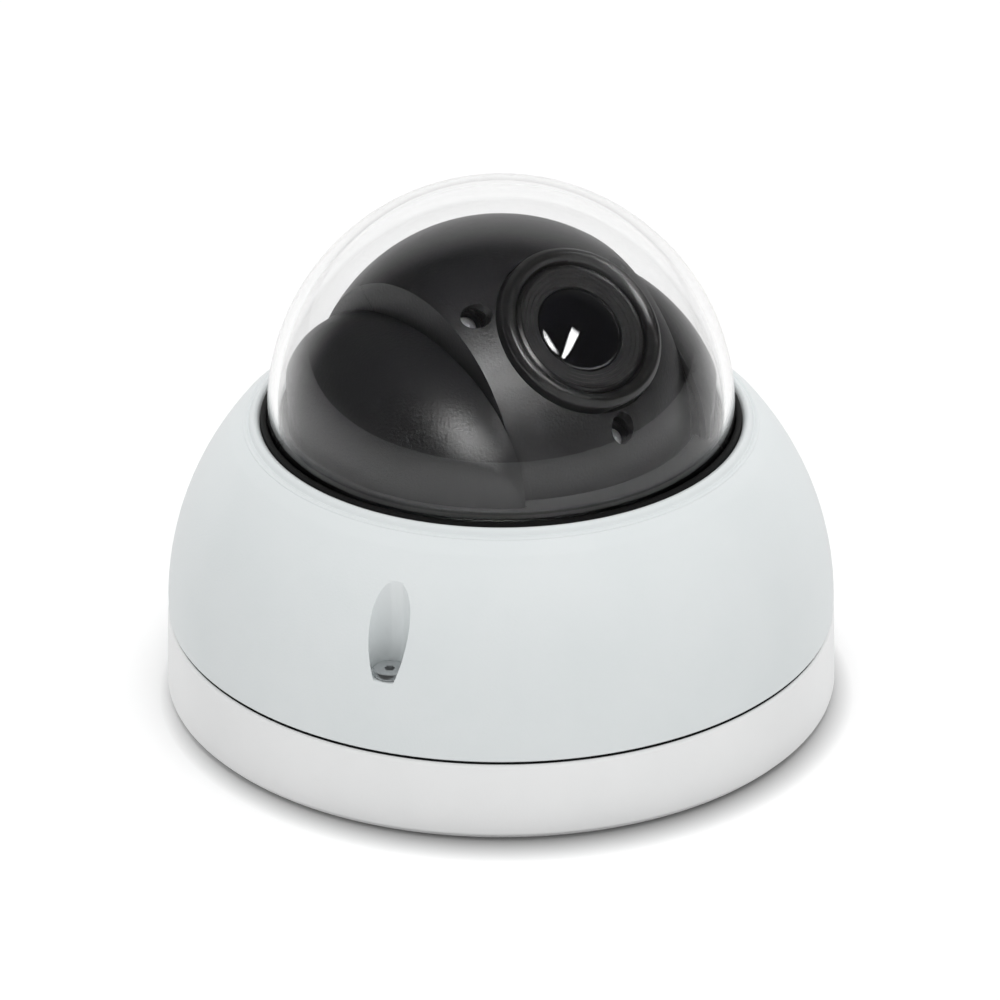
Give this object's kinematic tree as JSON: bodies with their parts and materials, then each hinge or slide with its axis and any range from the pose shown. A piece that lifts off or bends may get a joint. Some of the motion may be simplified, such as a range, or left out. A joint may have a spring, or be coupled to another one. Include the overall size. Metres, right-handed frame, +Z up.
{
  "type": "dome security camera",
  "caption": "Dome security camera: a motorised pan and tilt ball with a lens looks out through a clear bubble in a round white housing on a screwed base.",
  "frame": {"origin": "centre of the base's underside", "axes": "+Z up through the bubble, -Y towards the viewer, +X to the viewer's right"},
  "size_m": [0.122, 0.122, 0.0972],
  "materials": {
    "white_shell": "cool white, fine moulded texture",
    "base_white": "neutral white, satin",
    "black_shell": "black, fine spark-eroded texture",
    "grey_skirt": "dark grey, satin",
    "clear_bubble": "clear polycarbonate, polished",
    "rubber_seal": "black rubber",
    "steel": "plated",
    "alloy": "cast, matt",
    "circuit_board": "green solder mask",
    "nylon": "natural nylon",
    "lens_glass": "coated lens glass",
    "brass": "turned"
  },
  "bodies": {
    "housing": {"mount_base": "base_white", "cable_grommet": "rubber_seal", "base_seal": "rubber_seal", "main_board": "circuit_board", "board_screw_1": "steel", "board_screw_2": "steel", "board_screw_3": "steel", "chassis_plate": "alloy", "deck_screw_1": "steel", "deck_screw_2": "steel", "deck_screw_3": "steel", "pan_bush": "nylon", "pan_clip": "steel", "pan_motor": "steel", "pan_motor_screw_1": "steel", "pan_motor_screw_2": "steel", "top_cover": "white_shell", "cover_screw_1": "steel", "cover_screw_2": "steel", "dome_bubble": "clear_bubble", "dome_gasket": "rubber_seal", "dome_ring": "black_shell", "dome_ring_screw_1": "steel", "dome_ring_screw_2": "steel", "dome_ring_screw_3": "steel"},
    "pan_pinion_body": {"pan_pinion": "brass"},
    "pan_head": {"turntable": "black_shell", "pan_gear": "nylon", "yoke_screw_1": "steel", "yoke_screw_2": "steel", "head_drum": "black_shell", "head_skirt": "grey_skirt", "arm_cover_right": "black_shell", "arm_cover_left": "black_shell", "yoke_plate_right": "alloy", "yoke_plate_left": "alloy", "tilt_bush_right": "nylon", "tilt_bush_left": "nylon", "tilt_motor": "steel"},
    "tilt_pinion_body": {"tilt_pinion": "brass"},
    "camera_ball": {"ball_front_shell": "black_shell", "ball_rear_shell": "black_shell", "front_screw_1": "steel", "front_screw_2": "steel", "front_screw_3": "steel", "lens_bezel": "black_shell", "lens_barrel": "black_shell", "front_lens": "lens_glass", "zoom_group": "lens_glass", "focus_group": "lens_glass", "filter_housing": "black_shell", "ir_cut_filter": "lens_glass", "sensor_board": "circuit_board", "zoom_motor": "steel", "focus_motor": "steel", "tilt_axle_right": "steel", "tilt_axle_left": "steel", "tilt_gear": "nylon"}
  },
  "joints": [
    {"name": "pan", "type": "hinge", "parent": "housing", "child": "pan_head", "pos_m": [0, 0, 0.0178], "axis": [0, 0, 1], "range_deg": [-177, 177]},
    {"name": "pan_drive", "type": "hinge", "parent": "housing", "child": "pan_pinion_body", "pos_m": [-0.048, 0, 0.015], "axis": [0, 0, 1], "range_deg": [-1260, 1260]},
    {"name": "tilt", "type": "hinge", "parent": "pan_head", "child": "camera_ball", "pos_m": [0, 0, 0.055], "axis": [-0.7771, -0.6293, 0], "range_deg": [-20.5, 42.5]},
    {"name": "tilt_drive", "type": "hinge", "parent": "pan_head", "child": "tilt_pinion_body", "pos_m": [0, 0, 0.039], "axis": [-0.7771, -0.6293, 0], "range_deg": [-140, 70]}
  ],
  "couplings": [
    {"joint": "pan_drive", "follows": "pan", "ratio": -7},
    {"joint": "tilt_drive", "follows": "tilt", "ratio": -3}
  ]
}
